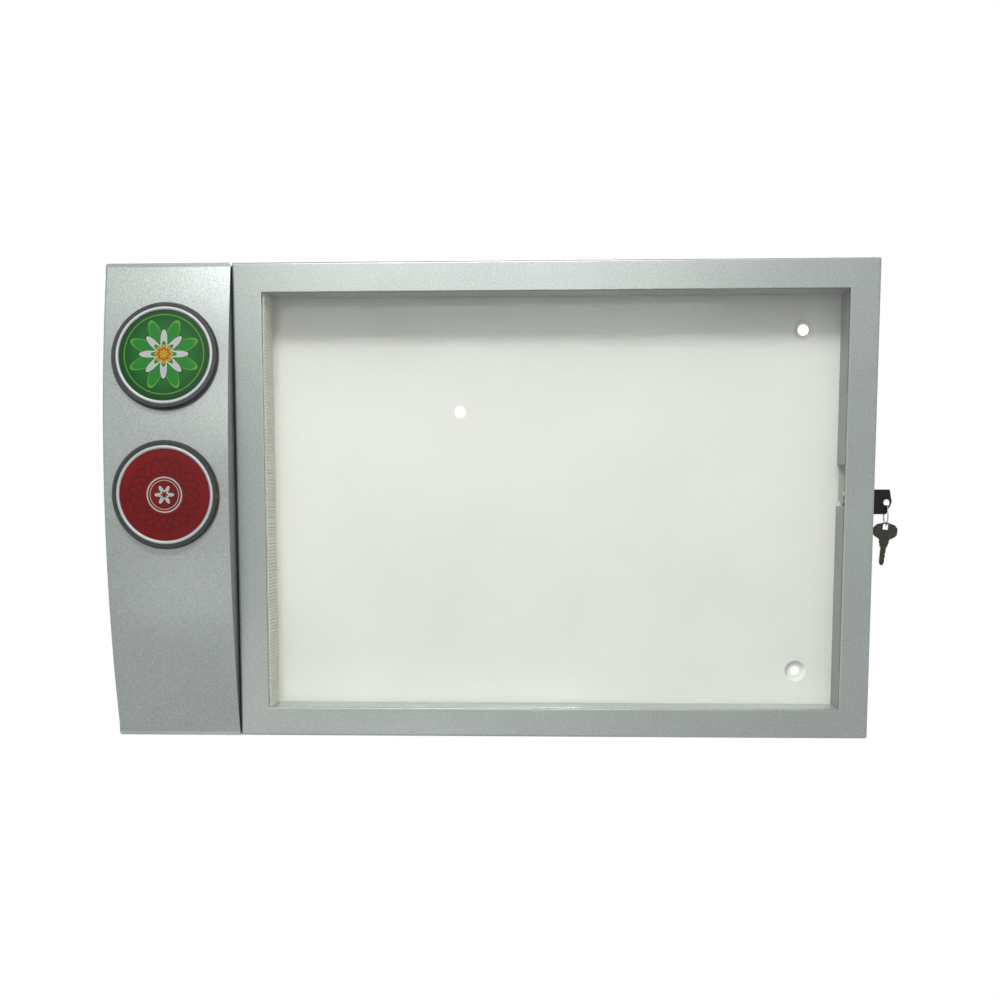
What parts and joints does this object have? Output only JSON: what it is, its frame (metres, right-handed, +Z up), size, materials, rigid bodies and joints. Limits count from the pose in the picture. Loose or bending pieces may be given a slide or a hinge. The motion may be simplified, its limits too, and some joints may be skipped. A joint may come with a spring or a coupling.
{
  "type": "menu display case",
  "caption": "Wall-hung lit menu display case with a bowed badge column, a glazed hinged door, a prismatic light strip and a side cam lock with keys on a ring.",
  "frame": {"origin": "centre of the four wall holes, on the wall plane that the dished pads touch", "axes": "+X to the right along the case, +Y back into the wall, +Z up; the glazed front faces -Y"},
  "size_m": [0.6335, 0.0769, 0.378],
  "materials": {
    "silver_paint": "fine metallic silver lacquer",
    "white_paint": "glossy white enamel",
    "clear_acrylic": "polished clear sheet",
    "prismatic_acrylic": "fine prism pattern",
    "zinc_steel": "bright zinc plated",
    "dark_plastic": "gloss moulded",
    "bright_ring": "bright metallised",
    "badge_green": "printed and clear coated",
    "badge_red": "printed and clear coated",
    "white_plastic": "moulded",
    "ballast_steel": "lacquered laminations",
    "brass": "plain",
    "lamp_white": "phosphor coated glass tube",
    "aluminium": "plain",
    "nickel": "nickel plated",
    "key_black": "moulded",
    "dark_metal": "dark plated",
    "rubber": "matt",
    "lead_insulation": "plain"
  },
  "bodies": {
    "case": {"back_sheet": "white_paint", "side_band": "white_paint", "strike_plate": "zinc_steel", "hinge_brackets": "zinc_steel", "diffuser_strip": "prismatic_acrylic", "diffuser_clips": "white_paint", "column_cover": "silver_paint", "cover_screws": "zinc_steel", "badge_bezel_upper": "dark_plastic", "badge_bezel_lower": "dark_plastic", "badge_rings": "bright_ring", "badge_disc_upper": "badge_green", "badge_disc_lower": "badge_red", "badge_nuts": "zinc_steel", "reflector": "white_paint", "gear_plate": "white_paint", "ballast": "ballast_steel", "starter_holder": "white_plastic", "starter": "white_plastic", "terminal_block": "white_plastic", "gear_screws": "zinc_steel", "lampholders": "white_plastic", "cable_grommet": "rubber", "earth_stud": "brass", "internal_leads": "lead_insulation"},
    "lamp": {"lamp_tube": "lamp_white", "lamp_caps": "aluminium"},
    "door": {"door_frame": "silver_paint", "glazing_pane": "clear_acrylic", "liner_top": "silver_paint", "liner_bottom": "silver_paint", "liner_right_upper": "silver_paint", "liner_right_lower": "silver_paint", "liner_nuts": "zinc_steel", "hinge_pins": "zinc_steel", "hinge_washers": "white_plastic", "lock_barrel": "nickel", "lock_nut": "nickel"},
    "lock": {"lock_plug": "nickel", "lock_cam": "zinc_steel", "cam_screw": "zinc_steel"},
    "key": {"key_blade": "nickel", "key_head": "key_black"},
    "ring": {"split_ring": "nickel"},
    "spare": {"spare_key": "dark_metal"}
  },
  "joints": [
    {"name": "door_hinge", "type": "hinge", "parent": "case", "child": "door", "pos_m": [-0.1998, -0.041, 0], "axis": [0, 0, -1], "range_deg": [0, 90]},
    {"name": "lock_turn", "type": "hinge", "parent": "door", "child": "lock", "pos_m": [0.295, -0.023, 0], "axis": [-1, 0, 0], "range_deg": [0, 90]},
    {"name": "key_pull", "type": "slide", "parent": "lock", "child": "key", "axis": [1, 0, 0], "range_m": [0, 0.022]},
    {"name": "ring_swing", "type": "hinge", "parent": "key", "child": "ring", "pos_m": [0.319, -0.023, -0.00175], "axis": [0, -1, 0], "range_deg": [-3, 60]},
    {"name": "spare_swing", "type": "hinge", "parent": "ring", "child": "spare", "pos_m": [0.319, -0.023, -0.01815], "axis": [0, -1, 0], "range_deg": [-2, 40]},
    {"name": "lamp_turn", "type": "hinge", "parent": "case", "child": "lamp", "pos_m": [-0.232, -0.026, 0], "axis": [0, 0, 1], "range_deg": [0, 90]}
  ]
}
